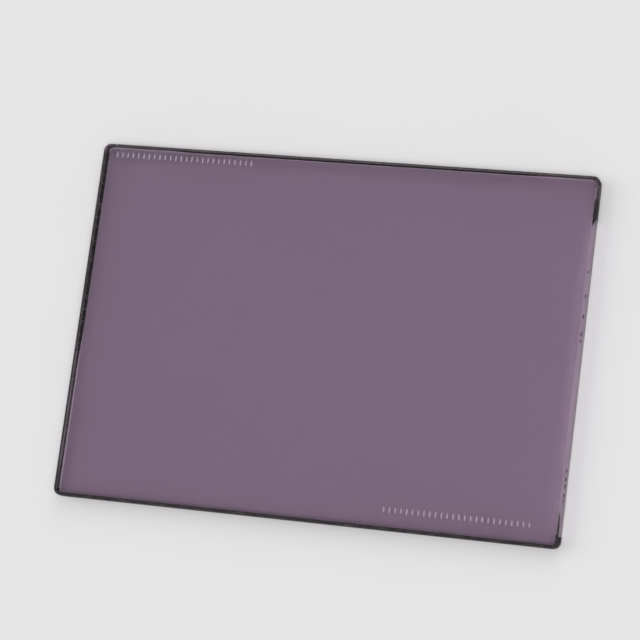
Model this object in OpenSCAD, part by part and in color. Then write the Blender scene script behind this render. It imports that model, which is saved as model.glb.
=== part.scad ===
// Rectangular enhancing filter for a camera's filter tray: one plate of violet glass,
// ground and bevelled all round, with black paint on its ground edge.
// The plate lies on its rear face. X runs along its length, Y across its width and
// Z up through its thickness. The origin is the centre of the rear face.

/* [Glass plate] */
// Length of the glass
plate_l = 143.5; // [60:0.1:180]
// Width of the glass
plate_w = 101.6; // [60:0.1:180]
// Thickness of the glass
plate_t = 4; // [3:0.1:6]
// Radius of the four upright corners, seen from the front
corner_r = 2.1; // [1.5:0.1:8]

/* [Ground edge] */
// Width of the bevels on the two long sides, measured across the polished face
bevel_w = 0.8; // [0.3:0.1:1.3]
// Height of those bevels, measured down the edge
bevel_h = 0.8; // [0.3:0.1:1]
// How much wider the bevels on the two ends are
end_wider = 0.35; // [0.1:0.05:0.8]
// How much further down the edge the end bevels reach
end_deeper = 0.1; // [0.05:0.05:0.3]

/* [Edge blacking] */
// Thickness of the black paint, square to the ground surface below it
paint_t = 0.05; // [0.03:0.01:0.12]
// Painted run left on the right-hand end, from the upper corner's arc down to the worn stretch
paint_upper = 10.5; // [1:0.5:20]
// Painted run left on the right-hand end, from the lower corner's arc up to the worn stretch
paint_lower = 1; // [1:0.5:15]
// How much further the paint reaches beside the faces than on the outer edge, at the upper stop
paint_tip_upper = 1.1; // [0.2:0.1:3]
// The same overreach at the lower stop
paint_tip_lower = 0.6; // [0.2:0.1:3]

/* [Hidden] */
$fn = 96;

glass_colour = [0.46, 0.39, 0.48];
paint_colour = [0.11, 0.10, 0.11];

// How far the cut for the worn stretch reaches past the paint on every side
clear = 0.3;

// The corner arcs turn about these points, which the straight runs reach between
corner_x = plate_l / 2 - corner_r;
corner_y = plate_w / 2 - corner_r;

// The bevels on the two ends
end_bevel_w = bevel_w + end_wider;
end_bevel_h = bevel_h + end_deeper;

// A bevel of width w and height h, moved out by a coat's thickness, from the corner arcs' centre
// line outwards: where it meets the land, how far it drops there, and where it meets the face,
// which keeps its height. All are whole micrometres, so that neighbouring pieces meet exactly.
function micro(v) = round(v * 1000) / 1000;
function land_reach(coat) = corner_r + coat;
function bevel_drop(w, h, coat) = micro(h - coat * (norm([w, h]) - h) / w);
function face_reach(w, h, coat) = micro(corner_r - w + coat * norm([w, h]) / h);

// Half of the long sides' cross-section, from the arcs' centre line outwards
function side_profile(coat) =
    let (
        land = land_reach(coat),
        face = face_reach(bevel_w, bevel_h, coat),
        drop = bevel_drop(bevel_w, bevel_h, coat)
    )
    [
        [0, 0],
        [face, 0],
        [land, drop],
        [land, plate_t - drop],
        [face, plate_t],
        [0, plate_t]
    ];

// The bar whose two bevelled edges run along X, between the corner arcs
module long_bar(coat)
    rotate([90, 0, 90])
        linear_extrude(height = 2 * corner_x, center = true)
            polygon([
                for (p = side_profile(coat)) if (p[0] > 0) [corner_y + p[0], p[1]],
                for (p = side_profile(coat)) if (p[0] > 0)
                    [-corner_y - p[0], plate_t - p[1]]
            ]);

// The block between the corner arcs that reaches out to the land of both ends
module cross_block(coat)
    rotate([90, 0, 0])
        linear_extrude(height = 2 * corner_y, center = true)
            polygon([
                [corner_x + land_reach(coat), 0],
                [corner_x + land_reach(coat), plate_t],
                [-corner_x - land_reach(coat), plate_t],
                [-corner_x - land_reach(coat), 0]
            ]);

// One rounded corner: the long sides' edge turned through a quarter circle
module corner(coat)
    rotate_extrude(angle = 90)
        polygon(side_profile(coat));

// What the four end bevels leave: their planes run on past the corners, and past the land up to
// half the plate's height
module end_wedges(coat) {
    face = corner_x + face_reach(end_bevel_w, end_bevel_h, coat);
    drop = bevel_drop(end_bevel_w, end_bevel_h, coat);
    crest = corner_x + land_reach(coat) + (plate_t / 2 - drop) * end_bevel_w / end_bevel_h;
    rotate([90, 0, 0])
        linear_extrude(height = plate_w + 2 * corner_r, center = true)
            polygon([
                [face, 0],
                [crest, plate_t / 2],
                [face, plate_t],
                [-face, plate_t],
                [-crest, plate_t / 2],
                [-face, 0]
            ]);
}

// The whole form of the plate. With a coat it is larger on every ground surface.
module ground_form(coat = 0)
    intersection() {
        union() {
            long_bar(coat);
            cross_block(coat);
            translate([corner_x, corner_y]) corner(coat);
            translate([-corner_x, corner_y]) rotate(90) corner(coat);
            translate([-corner_x, -corner_y]) rotate(180) corner(coat);
            translate([corner_x, -corner_y]) rotate(270) corner(coat);
        }
        end_wedges(coat);
    }

// The stretch of the right-hand end where handling has worn the paint away, with slanted stops
module worn_stretch() {
    inner = plate_l / 2 - end_bevel_w;
    outer = plate_l / 2 + paint_t;
    top = corner_y - paint_upper;
    bottom = -corner_y + paint_lower;
    // Rise of each slanted stop for a step across the edge
    upper_slope = paint_tip_upper / (outer - inner);
    lower_slope = paint_tip_lower / (outer - inner);
    translate([0, 0, -clear])
        linear_extrude(height = plate_t + 2 * clear)
            polygon([
                [inner - clear, bottom + paint_tip_lower + clear * lower_slope],
                [outer + clear, bottom - clear * lower_slope],
                [outer + clear, top + clear * upper_slope],
                [inner - clear, top - paint_tip_upper - clear * upper_slope]
            ]);
}

module glass_plate()
    color(glass_colour)
        ground_form();

module edge_blacking()
    color(paint_colour)
        difference() {
            ground_form(paint_t);
            ground_form();
            worn_stretch();
        }

glass_plate();
edge_blacking();
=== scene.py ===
import math

import bpy
from mathutils import Matrix, Vector, noise


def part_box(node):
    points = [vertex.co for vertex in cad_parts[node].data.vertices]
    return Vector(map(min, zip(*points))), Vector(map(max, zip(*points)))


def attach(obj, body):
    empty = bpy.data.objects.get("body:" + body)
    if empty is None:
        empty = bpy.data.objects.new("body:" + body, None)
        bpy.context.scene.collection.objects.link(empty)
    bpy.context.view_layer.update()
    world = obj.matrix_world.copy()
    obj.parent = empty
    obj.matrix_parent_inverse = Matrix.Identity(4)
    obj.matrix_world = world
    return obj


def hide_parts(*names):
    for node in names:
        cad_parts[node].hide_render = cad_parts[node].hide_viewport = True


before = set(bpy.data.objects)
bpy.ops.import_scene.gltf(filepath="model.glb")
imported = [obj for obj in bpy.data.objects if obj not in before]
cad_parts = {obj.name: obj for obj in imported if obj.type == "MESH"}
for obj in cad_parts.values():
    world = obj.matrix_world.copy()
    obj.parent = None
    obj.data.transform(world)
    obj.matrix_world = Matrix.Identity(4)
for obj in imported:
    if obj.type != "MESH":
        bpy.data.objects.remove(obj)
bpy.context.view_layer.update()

MM = 0.001

# Sizes of the ground edge and its paint, as in the part's source
CORNER_R = 2.1 * MM
SIDE_BEVEL = (0.8 * MM, 0.8 * MM)
END_BEVEL = (1.15 * MM, 0.9 * MM)
COAT = 0.05 * MM
PAINT_UPPER = 10.5 * MM
PAINT_LOWER = 1.0 * MM
PAINT_TIP_UPPER = 1.1 * MM
PAINT_TIP_LOWER = 0.6 * MM

glass_lo, glass_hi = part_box("glass_plate")
HALF_L = (glass_hi.x - glass_lo.x) / 2
HALF_W = (glass_hi.y - glass_lo.y) / 2
GLASS_T = glass_hi.z - glass_lo.z

# Colours between which each material varies
GLASS_VIOLET = ((0.634, 0.524, 0.636, 1), (0.646, 0.536, 0.648, 1))
GROUND_VIOLET = ((0.85, 0.75, 0.835, 1), (0.97, 0.88, 0.955, 1))
PAINT_OUTSIDE = ((0.018, 0.015, 0.019, 1), (0.200, 0.162, 0.183, 1))
PAINT_FROM_INSIDE = ((0.002, 0.0015, 0.002, 1), (0.270, 0.215, 0.245, 1))
FROSTED_WHITE = ((0.40, 0.36, 0.405, 1), (0.50, 0.45, 0.505, 1))
PALE_PAPER = ((0.81, 0.80, 0.81, 1), (0.83, 0.82, 0.83, 1))
STUDIO_AIR = (1.0, 0.985, 1.0, 1)

# The paint mesh's attribute that says how worn the paint is, and at the upper right corner how much
# painted glossy highlight it carries: 0 or less is black, and 1 or more grey
WEAR_AND_SHEEN = "wear"

# Shader helpers

# A mix node's two inputs and its output, for each kind of value
MIX_SOCKETS = {"FLOAT": (2, 3, 0), "RGBA": (6, 7, 2)}
# The range that most of a noise's values lie in
MOST = (0.3, 0.7)


def shader(name):
    """A new material with its node tree and its Principled shader."""
    mat = bpy.data.materials.new(name)
    mat.use_nodes = True
    return mat, mat.node_tree, mat.node_tree.nodes["Principled BSDF"]


def feed(tree, socket, value):
    """Links an output to a socket, or sets the socket's own value."""
    if isinstance(value, bpy.types.NodeSocket):
        tree.links.new(value, socket)
    else:
        socket.default_value = value


def add(tree, kind, **sockets):
    """A new node with some of its inputs set or linked; names use _ for a space."""
    node = tree.nodes.new(kind)
    for key, value in sockets.items():
        feed(tree, node.inputs[key.replace("_", " ")], value)
    return node


def maths(tree, operation, a, b=0.0, clamp=False):
    """A sum, product or the like of one or two numbers."""
    node = tree.nodes.new("ShaderNodeMath")
    node.operation = operation
    node.use_clamp = clamp
    feed(tree, node.inputs[0], a)
    feed(tree, node.inputs[1], b)
    return node.outputs[0]


def remap(tree, value, span, to=(0.0, 1.0)):
    """value taken from one range to another, and kept inside it."""
    node = add(tree, "ShaderNodeMapRange", Value=value, From_Min=span[0], From_Max=span[1])
    feed(tree, node.inputs["To Min"], to[0])
    feed(tree, node.inputs["To Max"], to[1])
    return node.outputs["Result"]


def mix(tree, kind, factor, first, second):
    """A number or colour between first and second."""
    node = tree.nodes.new("ShaderNodeMix")
    node.data_type = kind
    first_socket, second_socket, result = MIX_SOCKETS[kind]
    feed(tree, node.inputs[0], factor)
    feed(tree, node.inputs[first_socket], first)
    feed(tree, node.inputs[second_socket], second)
    return node.outputs[result]


def grain(tree, size, detail=2.0, rough=0.5, stretch=(1.0, 1.0, 1.0)):
    """Noise in the part's frame. size is the length of one feature, stretch its proportions."""
    place = tree.nodes.new("ShaderNodeTexCoord").outputs["Object"]
    scale = tuple(1.0 / (size * s) for s in stretch)
    mapping = add(tree, "ShaderNodeMapping", Vector=place, Scale=scale)
    node = add(
        tree, "ShaderNodeTexNoise", Vector=mapping.outputs[0], Scale=1.0, Detail=detail, Roughness=rough
    )
    return node.outputs[0]


def bump(tree, height, strength, distance):
    """A normal that follows height."""
    node = add(tree, "ShaderNodeBump", Height=height, Strength=strength, Distance=distance)
    return node.outputs["Normal"]


# Materials


def violet_glass():
    """Glass coloured in the mass: two polished faces, and a finely ground land and bevels."""
    mat, tree, bsdf = shader("violet_glass")
    normal = tree.nodes.new("ShaderNodeNewGeometry").outputs["True Normal"]
    upright = maths(tree, "ABSOLUTE", add(tree, "ShaderNodeSeparateXYZ", Vector=normal).outputs["Z"])
    # 0 on the two level faces and 1 on every slanting or upright surface
    ground = remap(tree, upright, (0.99, 0.95))

    smudge = grain(tree, size=9 * MM, detail=4.0, rough=0.6, stretch=(1.0, 0.6, 1.0))
    fine = grain(tree, size=0.11 * MM, detail=3.0, rough=0.65)
    polished_rough = remap(tree, smudge, (0.35, 0.75), to=(0.0, 0.03))
    ground_rough = remap(tree, fine, MOST, to=(0.42, 0.60))
    body = mix(tree, "RGBA", smudge, *GLASS_VIOLET)
    frosted = mix(tree, "RGBA", fine, *GROUND_VIOLET)
    relief = maths(tree, "MULTIPLY", fine, ground)

    feed(tree, bsdf.inputs["Base Color"], mix(tree, "RGBA", ground, body, frosted))
    feed(tree, bsdf.inputs["Roughness"], mix(tree, "FLOAT", ground, polished_rough, ground_rough))
    feed(tree, bsdf.inputs["Normal"], bump(tree, relief, strength=0.35, distance=0.02 * MM))
    feed(tree, bsdf.inputs["IOR"], 1.52)
    feed(tree, bsdf.inputs["Transmission Weight"], 1.0)
    return mat


def edge_paint(name, dark, worn):
    """Matt black paint, worn to grey where the coat's own attribute says so, with glossy highlights
    painted in as grey at the upper right corner, and mottled all over.
    """
    mat, tree, bsdf = shader(name)
    attribute = tree.nodes.new("ShaderNodeAttribute")
    attribute.attribute_name = WEAR_AND_SHEEN
    patches = grain(tree, size=0.85 * MM, detail=3.0, rough=0.6, stretch=(1.0, 1.0, 0.45))
    fine = grain(tree, size=0.22 * MM, detail=3.0, rough=0.6)
    coarse_mottle = remap(tree, patches, (0.36, 0.64), to=(-0.25, 0.25))
    fine_mottle = remap(tree, fine, MOST, to=(-0.10, 0.10))
    mottle = maths(tree, "ADD", coarse_mottle, fine_mottle)
    wear = maths(tree, "ADD", attribute.outputs["Fac"], mottle, clamp=True)

    feed(tree, bsdf.inputs["Base Color"], mix(tree, "RGBA", wear, dark, worn))
    feed(tree, bsdf.inputs["Roughness"], remap(tree, fine, MOST, to=(0.60, 0.80)))
    feed(tree, bsdf.inputs["Normal"], bump(tree, fine, strength=0.5, distance=0.02 * MM))
    feed(tree, bsdf.inputs["Specular IOR Level"], 0.35)
    return mat


def etched():
    """Frosted strokes in the face, pale with the light they scatter."""
    mat, tree, bsdf = shader("etched_marks")
    fine = grain(tree, size=0.09 * MM)
    feed(tree, bsdf.inputs["Base Color"], mix(tree, "RGBA", fine, *FROSTED_WHITE))
    feed(tree, bsdf.inputs["Alpha"], remap(tree, fine, MOST, to=(0.80, 1.0)))
    feed(tree, bsdf.inputs["Roughness"], 0.8)
    return mat


def floor_paper():
    """Pale, almost even studio paper."""
    mat, tree, bsdf = shader("studio_floor")
    soft = grain(tree, size=40 * MM, detail=3.0)
    feed(tree, bsdf.inputs["Base Color"], mix(tree, "RGBA", soft, *PALE_PAPER))
    feed(tree, bsdf.inputs["Roughness"], 0.9)
    feed(tree, bsdf.inputs["Specular IOR Level"], 0.1)
    return mat


# The ground edge, as a strip round the plate. A point of it has a run, the distance along that run,
# and the distance q across the strip, from the front face over bevel, land and bevel to the rear face.

# A middling slope and land stand for the whole edge where the paint's borders are laid out
SLOPE = (math.hypot(*SIDE_BEVEL) + math.hypot(*END_BEVEL)) / 2
LAND = GLASS_T - SIDE_BEVEL[1] - END_BEVEL[1]
ACROSS = 2 * SLOPE + LAND

# How many steps the coat's mesh takes across each bevel, across the land and round each corner
BEVEL_STEPS = 9
LAND_STEPS = 8
ARC_STEPS = 14
# Steps along the straight runs, shorter where the paint has more to show, and the shortest last one
RUN_STEP = {"upper": 0.5 * MM, "right": 0.12 * MM, "lower": 0.5 * MM, "left": 0.24 * MM}
NICK_STEP = 0.12 * MM
NICK_ZONE = 5 * MM
LEAST_STEP = 0.05 * MM

# An outward direction that turns less than this towards an end is clear of the end bevels
LEAST_ENDWARD = 0.05


def bevel_at(bevel, coat):
    """How far a bevel moved out by coat drops at the land, and its rise for a step inwards."""
    width, height = bevel
    return height - coat * (math.hypot(width, height) - height) / width, height / width


def edge_point(out, q, coat):
    """The ground edge moved out by coat, at q across it: (reach from the arcs' centre line, height).

    The long sides' bevel turns round the corner arcs, and the wider end bevels cut it there.
    """
    from_rear = q > ACROSS / 2
    q = min(q, ACROSS - q)
    endward = abs(out.x)
    land = CORNER_R + coat
    side_drop, side_rise = bevel_at(SIDE_BEVEL, coat)
    end_drop, end_rise = bevel_at(END_BEVEL, coat)

    def surface(reach):
        turned = (land - reach) * side_rise - side_drop
        cut = (land - reach * endward) * end_rise - end_drop
        return GLASS_T + min(turned, cut, 0.0)

    face = land - side_drop / side_rise
    if endward > LEAST_ENDWARD:
        face = min(face, (land - end_drop / end_rise) / endward)
    if q < SLOPE:
        reach = face + (land - face) * q / SLOPE
        height = surface(reach)
    else:
        reach = land
        arris = surface(land)
        height = arris - (q - SLOPE) * (2 * arris - GLASS_T) / LAND
    # The under side stays just short of both polished faces
    height = min(height, GLASS_T + min(coat, 0.0))
    return reach, GLASS_T - height if from_rear else height


def edge_rows():
    """Distances across the edge, closer together on the bevels than on the land."""
    q = [SLOPE * i / BEVEL_STEPS for i in range(BEVEL_STEPS)]
    q += [SLOPE + LAND * i / LAND_STEPS for i in range(LAND_STEPS)]
    q += [SLOPE + LAND + SLOPE * i / BEVEL_STEPS for i in range(BEVEL_STEPS + 1)]
    return q


def edge_columns():
    """Round the edge, clockwise from the upper side's start: (run, distance along it, base, outward)."""
    cx, cy = HALF_L - CORNER_R, HALF_W - CORNER_R
    sides = [
        ("upper", (-cx, cy), (cx, cy), 90),
        ("right", (cx, cy), (cx, -cy), 0),
        ("lower", (cx, -cy), (-cx, -cy), -90),
        ("left", (-cx, -cy), (-cx, cy), -180),
    ]

    def outward(degrees):
        turn = math.radians(degrees)
        return Vector((math.cos(turn), math.sin(turn)))

    columns = []
    for run, start, end, facing in sides:
        start, end = Vector(start), Vector(end)
        length = (end - start).length
        along = 0.0
        while along < length - LEAST_STEP:
            columns.append((run, along, start + (end - start) * along / length, outward(facing)))
            near_nick = run == "upper" and along < NICK_ZONE
            along += NICK_STEP if near_nick else RUN_STEP[run]
        for i in range(ARC_STEPS):
            along = CORNER_R * math.pi / 2 * i / ARC_STEPS
            columns.append((run + "_arc", along, end, outward(facing - 90.0 * i / ARC_STEPS)))
    return columns


# What the photograph shows of the paint's wear. Places down both ends are measured from the upper
# side, and places along the upper side from the left end.

# Noises: the seed, how far the noise goes up and down, and the size of one feature along each axis
FRONT_BORDER = (1, 0.05 * MM, 1.1 * MM, 1.1 * MM)
REAR_BORDER = (2, 0.06 * MM, 0.7 * MM, 0.7 * MM)
FLAKES = (3, 1.0, 0.8 * MM, 0.8 * MM, 0.5 * MM)
RAGGED_STOPS = (4, 0.25 * MM, 0.9 * MM, 0.35 * MM)
UNEVEN_RUB = (5, 0.30, 0.7 * MM)
SWAYING_TAIL = (6, 0.04 * MM, 1.3 * MM)
UNEVEN_COAT = (7, 0.14, 0.7 * MM, 0.7 * MM, 0.5 * MM)
LEFT_STREAKS = (11, 0.20, 4.0 * MM, 0.16 * MM)
UPPER_STREAKS = (12, 0.06, 6.0 * MM, 0.16 * MM)
BLOTS = (13, 1.0, 0.9 * MM, 2.4 * MM)
LEFT_MOTTLE = (14, 0.34, 1.1 * MM, 0.45 * MM)
# The scuffs' noise also paints glossy highlight specks as grey near the upper right corner
SCUFFS_AND_SHEEN = (15, 1.0, 0.6 * MM, 0.35 * MM)
# How far apart two seeds in a row lie in the noise, in features along each axis
SEED_STEP = (17.3, 5.1, 9.7)

# Stretches: where each starts and ends, the length over which it fades out past them, and what it adds
# or takes away in full, which is 1 where none is given
PAST_END = 200 * MM
LEFT_LOWER = (66 * MM, PAST_END, 14 * MM)
LEFT_BARED = (*LEFT_LOWER, 0.30 * MM)
LEFT_FOOT = (97 * MM, PAST_END, 5 * MM, 0.8)
LEFT_GREY_SPOT = (17.0 * MM, 18.4 * MM, 0.9 * MM, 0.40)
UPPER_DARKER = (0.0, 20 * MM, 8 * MM, 0.07)
UPPER_PALE_LEFT = (0.0, 20 * MM, 5 * MM, 0.46)
UPPER_PALE_RIGHT = (127 * MM, PAST_END, 5 * MM, 0.35)
UPPER_BARED_LEFT = (0.0, 19 * MM, 6 * MM, 0.30 * MM)
UPPER_BARED_RIGHT = (130 * MM, PAST_END, 6 * MM, 0.22 * MM)
# The right end's top 6 mm: scuffs, and glossy highlights painted in as grey specks
RIGHT_SCUFFED_AND_SHEEN = (0.0, 6.0 * MM, 1.5 * MM)
RIGHT_RUBBED = (3.0 * MM, 6.0 * MM, 0.9 * MM, 0.32 * MM)
# The same across a bevel, from its border with the face, in shares of its slope
RUBBED_BAND = (0.0, 0.12, 0.26, 0.75)
PALE_BAND = (0.42, 1.0, 0.14, 0.80)
# The same over the values of a noise: the thin grey gaps between black blots
BLOT_GAP = (-0.06, 0.06, 0.10, 0.70)

# Even wear: outside and inside of two sides, then of the right end, its specks and all the rest
LEFT_OUTSIDE, LEFT_INSIDE = 0.12, -0.04
UPPER_OUTSIDE, UPPER_INSIDE = 0.34, -0.06
RIGHT_WEAR = 0.02
SPECK_WEAR = 0.50
REST_WEAR = 0.08
# How much darker the left end is at its lower part, and at the blots of its upper part
LOWER_DARKER = 0.10
BLOT_DARKER = 0.20
# How much of its streaks shows outside, and how much more of them at its lower part
STREAKS_SHOWN = 0.7
STREAKS_MORE = 0.6
# Wear and painted glossy highlights of what is scuffed: the mean, and how far the scuffs and highlights
# go up and down
SCUFFED_AND_SHEEN = {"left_arc": (0.42, 0.25), "upper_arc": (0.14, 0.30), "right": (0.24, 0.35)}

# How far the paint stays from the front face, and from the rear face on the upper side and elsewhere
FRONT_MARGIN = 0.02 * MM
UPPER_BARED = 0.22 * MM
REST_BARED = 0.10 * MM

# The worn end's upper stop: where across the edge it keeps its full reach, how far the rest of it draws
# back, and how far it is rubbed away from the front face
STOP_TIP = (0.0, 0.36 * MM, 1.0 * MM)
STOP_TAPER = 1.9 * MM
STOP_RUBBED = 0.26 * MM
# How sharply the lower stop's tip narrows
TIP_CURVE = 1.5

# A flake is gone where its noise is above this level, and a unit of the noise counts as this depth
FLAKE_LEVEL = 0.74
FLAKE_SLOPE = 0.5 * MM

# Ovals: place along the run, place across the edge, half length and half width
NICK = (3.8 * MM, 0.65 * SLOPE, 0.22 * MM, 0.5 * MM)
SPOT = (2.8 * MM, 0.08 * MM, 0.5 * MM, 0.14 * MM)

# Specks of paint left on the worn end's front bevel, in two rows: the row's place across the edge,
# its half width, and each speck's place and half length in millimetres
SPECKS_START = 15 * MM
SPECK_ROWS = (
    (0.52 * SLOPE, 0.17 * MM, ((26.6, 0.30), (33.2, 0.40), (38.9, 0.60), (43.8, 0.65), (45.6, 0.60))),
    (0.76 * SLOPE, 0.16 * MM, ((80.8, 0.60), (83.1, 0.65), (84.9, 0.65), (87.5, 0.70), (89.0, 0.60))),
)

# The tail of paint beside the front face that runs down to the lower corner
TAIL_START = 91.0 * MM
TAIL_TAPER = 4.5 * MM
TAIL_PLACE = 0.46 * MM
TAIL_HALF_WIDTH = 0.19 * MM


def wander(kind, *places):
    """One of the noises, at a place along each of its axes."""
    seed, height, *sizes = kind
    steps = [place / size for place, size in zip(places, sizes)]
    steps += [0.0] * (3 - len(steps))
    shift = [seed * s for s in SEED_STEP]
    return height * noise.noise(Vector(steps) + Vector(shift))


def hump(value, start, end, fade, height=1.0):
    """The full height between start and end, fading to 0 past them."""
    return height * max(0.0, min(1.0, 1.0 + (value - start) / fade, 1.0 + (end - value) / fade))


def oval(d, q, at, across, half_l, half_w):
    """Positive inside an oval, by the distance to its border."""
    off = math.hypot((d - at) / half_l, (q - across) / half_w)
    return (1.0 - off) * min(half_l, half_w)


def place_on(run, along):
    """A point's place on its run: below the upper side on both ends, and from the left on that side."""
    return 2 * HALF_W - CORNER_R - along if run == "left" else CORNER_R + along


def left_wear(d, q):
    """Wear of the left end: mottled and blotted at its upper part, streaked and pale below."""
    lower = hump(d, *LEFT_LOWER)
    upper = 1.0 - lower
    streak = wander(LEFT_STREAKS, d, q)
    if q < ACROSS / 2:
        even = LEFT_OUTSIDE - LOWER_DARKER * lower
        rubbed = hump(q / SLOPE, *RUBBED_BAND) * lower * (1.0 - hump(d, *LEFT_FOOT))
        streaked = streak * (STREAKS_SHOWN + STREAKS_MORE * lower)
        return even + rubbed + streaked + wander(LEFT_MOTTLE, d, q) * upper
    pale = lower * hump((ACROSS - q) / SLOPE, *PALE_BAND)
    blots = (hump(wander(BLOTS, d, q), *BLOT_GAP) - BLOT_DARKER) * upper
    return LEFT_INSIDE + pale + hump(d, *LEFT_GREY_SPOT) + streak * lower + blots


def upper_wear(d, q):
    """Wear of the upper side: even grey outside, and pale from inside near both ends."""
    streak = wander(UPPER_STREAKS, d, q)
    if q < ACROSS / 2:
        return UPPER_OUTSIDE - hump(d, *UPPER_DARKER) + streak
    pale = hump(d, *UPPER_PALE_LEFT) + hump(d, *UPPER_PALE_RIGHT)
    return UPPER_INSIDE + pale + streak


def paint_wear_and_sheen(run, along, q):
    """How far the paint is worn to grey, with glossy highlights painted in as grey near the upper right
    corner. The rear half shows from inside, through the glass.
    """
    d = place_on(run, along)
    if run == "left":
        return left_wear(d, q)
    if run == "upper":
        return upper_wear(d, q)
    if run == "right" and SPECKS_START < d < TAIL_START:
        return SPECK_WEAR
    if run not in SCUFFED_AND_SHEEN:
        return REST_WEAR
    # Scuffed paint, with glossy highlights painted in at the upper right corner and the right end's top
    mean, height = SCUFFED_AND_SHEEN[run]
    scuffed_and_sheen = mean + height * wander(SCUFFS_AND_SHEEN, along, q)
    return RIGHT_WEAR + scuffed_and_sheen * hump(d, *RIGHT_SCUFFED_AND_SHEEN) if run == "right" else scuffed_and_sheen


def rear_margin(run, d):
    """How far the paint stays from the rear face's border, where that shows through the glass."""
    if run == "left":
        return hump(d, *LEFT_BARED)
    if run == "upper":
        return UPPER_BARED + hump(d, *UPPER_BARED_LEFT) + hump(d, *UPPER_BARED_RIGHT)
    return REST_BARED


def right_end_depth(d, q):
    """How far inside the paint that is left on the right-hand end a point lies."""
    beside = min(1.0, min(q, ACROSS - q) / SLOPE)
    ragged = wander(RAGGED_STOPS, d, q)
    # The upper stop tapers to a tip beside the front face, rubbed away from it, most near the corner
    taper = 1.0 - hump(q, *STOP_TIP) if q < ACROSS / 2 else beside
    upper_stop = CORNER_R + PAINT_UPPER + PAINT_TIP_UPPER - STOP_TAPER * taper + ragged - d
    rub = (STOP_RUBBED + hump(d, *RIGHT_RUBBED)) * (1.0 + wander(UNEVEN_RUB, d))
    tip = (1.0 - beside) ** TIP_CURVE
    lower_stop = d - (2 * HALF_W - CORNER_R - PAINT_LOWER - PAINT_TIP_LOWER * tip + ragged)
    kept = [min(upper_stop, q - rub), lower_stop, oval(d, q, *SPOT)]
    for across, half_w, specks in SPECK_ROWS:
        kept += [oval(d, q, at * MM, across, half_l * MM, half_w) for at, half_l in specks]
    if d > TAIL_START:
        centre = TAIL_PLACE + wander(SWAYING_TAIL, d)
        half_width = TAIL_HALF_WIDTH * min(1.0, (d - TAIL_START) / TAIL_TAPER)
        kept.append(half_width - abs(q - centre))
    return max(kept)


def paint_depth(run, along, base, out, q):
    """How far inside the paint a point of the edge lies, negative where the ground glass is bare."""
    d = place_on(run, along)
    x, y = base + out * CORNER_R
    # Both borders wander a little beside the polished faces
    from_front = q - FRONT_MARGIN - wander(FRONT_BORDER, x, y)
    from_rear = ACROSS - q - rear_margin(run, d) - wander(REAR_BORDER, x, y)
    flake = (FLAKE_LEVEL - wander(FLAKES, x, y, q)) * FLAKE_SLOPE
    depth = min(from_front, from_rear, flake)
    if run == "upper":
        depth = min(depth, -oval(d, q, *NICK))
    if run == "right":
        depth = min(depth, right_end_depth(d, q))
    return depth


# The coat of paint

# The paint wets the ground glass, so its under side lies just inside the glass's own surface
CONTACT = 0.015 * MM
# The coat's mean thickness, in shares of the full one
MEAN_THICKNESS = 0.86
# A border vertex keeps this share of its grid step from both grid points
LEAST_SHARE = 0.08
SHARP_ANGLE = math.radians(32)
# The mesh's material slots
OUTSIDE, FROM_INSIDE = 0, 1


class CoatGrid:
    """The edge's grid of points, and the vertices that the coat's faces ask for.

    Vertices come in pairs: an outer one, and right after it the one on the under side.
    """

    def __init__(self):
        self.columns, self.rows = edge_columns(), edge_rows()
        self.depth = [[paint_depth(*column, q) for q in self.rows] for column in self.columns]
        self.verts, self.wear, self.index = [], [], {}

    def depth_at(self, point):
        i, j = point
        return self.depth[i][j]

    def places(self, point):
        """The outer and the under place of a grid point."""
        i, j = point
        _, _, base, out = self.columns[i]
        q = self.rows[j]
        x, y = base + out * CORNER_R
        thickness = COAT * (MEAN_THICKNESS + wander(UNEVEN_COAT, x, y, q))
        pair = []
        for offset in (thickness, -CONTACT):
            reach, height = edge_point(out, q, offset)
            pair.append(Vector((*(base + out * reach), height)))
        return pair

    def vertex(self, painted, bare=None):
        """The outer vertex at a painted grid point, or on the paint's border towards a bare one."""
        key = (painted, bare)
        if key not in self.index:
            pair = self.places(painted)
            if bare is not None:
                share = self.depth_at(painted) / (self.depth_at(painted) - self.depth_at(bare))
                share = min(1.0 - LEAST_SHARE, max(LEAST_SHARE, share))
                pair = [near.lerp(far, share) for near, far in zip(pair, self.places(bare))]
            i, j = painted
            run, along, _, _ = self.columns[i]
            self.index[key] = len(self.verts)
            self.verts += pair
            self.wear += [paint_wear_and_sheen(run, along, self.rows[j])] * 2
        return self.index[key]

    def loops(self):
        """The outer faces: every square of the grid, cut along the paint's border."""
        loops = []
        for i in range(len(self.columns)):
            beyond = (i + 1) % len(self.columns)
            for j in range(len(self.rows) - 1):
                corners = [(i, j), (beyond, j), (beyond, j + 1), (i, j + 1)]
                loop = []
                for a, b in zip(corners, corners[1:] + corners[:1]):
                    a_painted, b_painted = self.depth_at(a) > 0, self.depth_at(b) > 0
                    if a_painted:
                        loop.append(self.vertex(a))
                    if a_painted != b_painted:
                        loop.append(self.vertex(a, b) if a_painted else self.vertex(b, a))
                if len(loop) > 2:
                    loops.append(loop)
        return loops


def place_object(name, data):
    """A new object in the scene."""
    obj = bpy.data.objects.new(name, data)
    bpy.context.scene.collection.objects.link(obj)
    return obj


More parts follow.
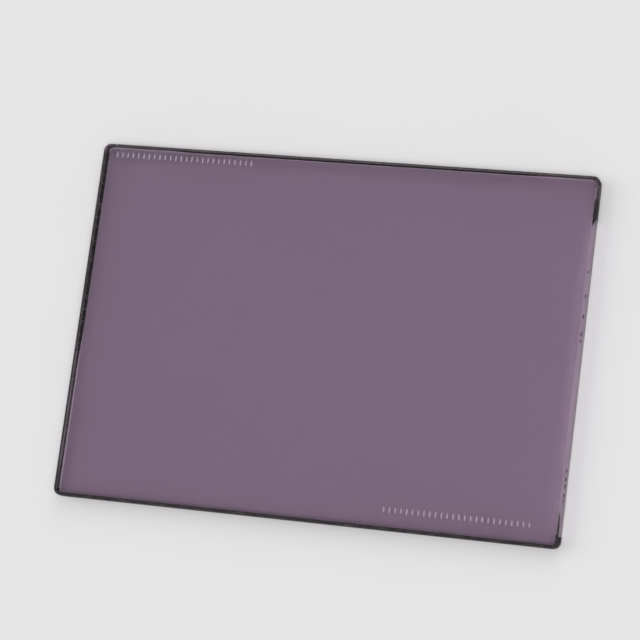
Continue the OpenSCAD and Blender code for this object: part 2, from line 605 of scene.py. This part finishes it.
def paint_coat():
    """The coat as one closed shell: outer side, under side and a wall along every border of the paint."""
    grid = CoatGrid()
    loops = grid.loops()
    edges = {(a, b) for loop in loops for a, b in zip(loop, loop[1:] + loop[:1])}
    borders = [(a, b) for a, b in sorted(edges) if (b, a) not in edges]
    faces = [(loop, OUTSIDE) for loop in loops]
    faces += [([v + 1 for v in reversed(loop)], FROM_INSIDE) for loop in loops]
    faces += [([b, a, a + 1, b + 1], OUTSIDE) for a, b in borders]

    mesh = bpy.data.meshes.new("edge_paint")
    mesh.from_pydata([v[:] for v in grid.verts], [], [face for face, _ in faces])
    mesh.attributes.new(WEAR_AND_SHEEN, "FLOAT", "POINT").data.foreach_set("value", grid.wear)
    mesh.materials.append(edge_paint("edge_paint", *PAINT_OUTSIDE))
    mesh.materials.append(edge_paint("edge_paint_under", *PAINT_FROM_INSIDE))
    mesh.polygons.foreach_set("material_index", [slot for _, slot in faces])
    mesh.polygons.foreach_set("use_smooth", [True] * len(faces))
    mesh.set_sharp_from_angle(angle=SHARP_ANGLE)
    mesh.update()
    return place_object("edge_paint_coat", mesh)


# Etched marks

MARK_PITCH = 1.6 * MM
MARK_HEIGHT = 1.5 * MM
MARK_HALF_W = 0.17 * MM
MARK_SUNK = 0.020 * MM
MARK_PROUD = 0.005 * MM
MARK_END_STEPS = 5
# Where each row starts, where it ends, and its middle line
UPPER_ROW = (-HALF_L + 4.6 * MM, -HALF_L + 46 * MM, HALF_W - 3.2 * MM)
LOWER_ROW = (HALF_L - 48.4 * MM, HALF_L - 7.0 * MM, -HALF_W + 5.4 * MM)


def stroke_outline():
    """A slender upright stroke with round ends."""
    points = []
    centre = MARK_HEIGHT / 2 - MARK_HALF_W
    for middle, first in ((centre, 0), (-centre, 180)):
        for i in range(MARK_END_STEPS + 1):
            turn = math.radians(first + 180.0 * i / MARK_END_STEPS)
            points.append((MARK_HALF_W * math.cos(turn), middle + MARK_HALF_W * math.sin(turn)))
    return points


def etched_row(name, x_from, x_to, y_mid):
    """An even row of like strokes in the front face."""
    outline = stroke_outline()
    k = len(outline)
    verts, faces = [], []
    for i in range(int((x_to - x_from) / MARK_PITCH) + 1):
        x = x_from + i * MARK_PITCH
        top = len(verts)
        bottom = top + k
        verts += [(x + u, y_mid + v, GLASS_T + MARK_PROUD) for u, v in outline]
        verts += [(x + u, y_mid + v, GLASS_T - MARK_SUNK) for u, v in outline]
        faces.append([top + c for c in range(k)])
        faces.append([bottom + c for c in reversed(range(k))])
        faces += [[top + c, bottom + c, bottom + (c + 1) % k, top + (c + 1) % k] for c in range(k)]
    mesh = bpy.data.meshes.new(name)
    mesh.from_pydata(verts, [], faces)
    mesh.update()
    return place_object(name, mesh)


# The part

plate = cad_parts["glass_plate"]
plate.data.materials.clear()
plate.data.materials.append(violet_glass())

coat = paint_coat()
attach(coat, "root")
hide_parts("edge_blacking")

marks = etched()
upper_marks = etched_row("upper_marks", *UPPER_ROW)
lower_marks = etched_row("lower_marks", *LOWER_ROW)
for row in (upper_marks, lower_marks):
    row.data.materials.append(marks)
    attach(row, "root")

# Studio

FLOOR_HALF = 4.0
FLOOR_GAP = 0.2 * MM
FLOOR_CORNERS = ((-1, -1), (1, -1), (1, 1), (-1, 1))
WORLD_STRENGTH = 0.30

floor_mesh = bpy.data.meshes.new("studio_floor")
floor_points = [(x * FLOOR_HALF, y * FLOOR_HALF, -FLOOR_GAP) for x, y in FLOOR_CORNERS]
floor_mesh.from_pydata(floor_points, [], [(0, 1, 2, 3)])
floor_mesh.materials.append(floor_paper())
floor = place_object("studio_floor", floor_mesh)

world = bpy.data.worlds.new("studio_world")
world.use_nodes = True
background = world.node_tree.nodes["Background"]
background.inputs["Color"].default_value = STUDIO_AIR
background.inputs["Strength"].default_value = WORLD_STRENGTH
bpy.context.scene.world = world


def softbox(name, place, size, power):
    """A large square lamp that faces the plate's middle."""
    data = bpy.data.lights.new(name, "AREA")
    data.shape = "SQUARE"
    data.size = size
    data.energy = power
    lamp = place_object(name, data)
    lamp.location = place
    lamp.rotation_mode = "QUATERNION"
    lamp.rotation_quaternion = (-Vector(place)).to_track_quat("-Z", "Y")
    # The front face mirrors only the even world, from whichever side it is seen
    lamp.visible_glossy = False


softbox("key", place=(0.48, -0.42, 1.72), size=1.1, power=17)
softbox("fill_left", place=(-1.5, 0.1, 1.0), size=1.2, power=9.5)
softbox("back", place=(0.2, 1.6, 1.1), size=1.2, power=7.5)

# Camera, at the photograph's angle to the plate

CAMERA_PLACE = Vector((178.2 * MM, -107.4 * MM, 648.2 * MM))
CAMERA_AIM = Vector((-1.26 * MM, 4.80 * MM, 4.0 * MM))
CAMERA_ROLL = math.radians(7.53)
CAMERA_LENS = 138.35
CAMERA_SENSOR = 36.0
CAMERA_CLIP = (0.01, 20.0)

camera_data = bpy.data.cameras.new("camera")
camera_data.lens = CAMERA_LENS
camera_data.sensor_width = CAMERA_SENSOR
camera_data.clip_start, camera_data.clip_end = CAMERA_CLIP
camera = place_object("camera", camera_data)
forward = (CAMERA_AIM - CAMERA_PLACE).normalized()
right = forward.cross(Vector((0, 1, 0))).normalized()
up = right.cross(forward)
level = Matrix((right, up, -forward)).transposed().to_4x4()
camera.matrix_world = Matrix.Translation(CAMERA_PLACE) @ level @ Matrix.Rotation(CAMERA_ROLL, 4, "Z")
bpy.context.scene.camera = camera
bpy.context.scene.view_settings.view_transform = "Standard"
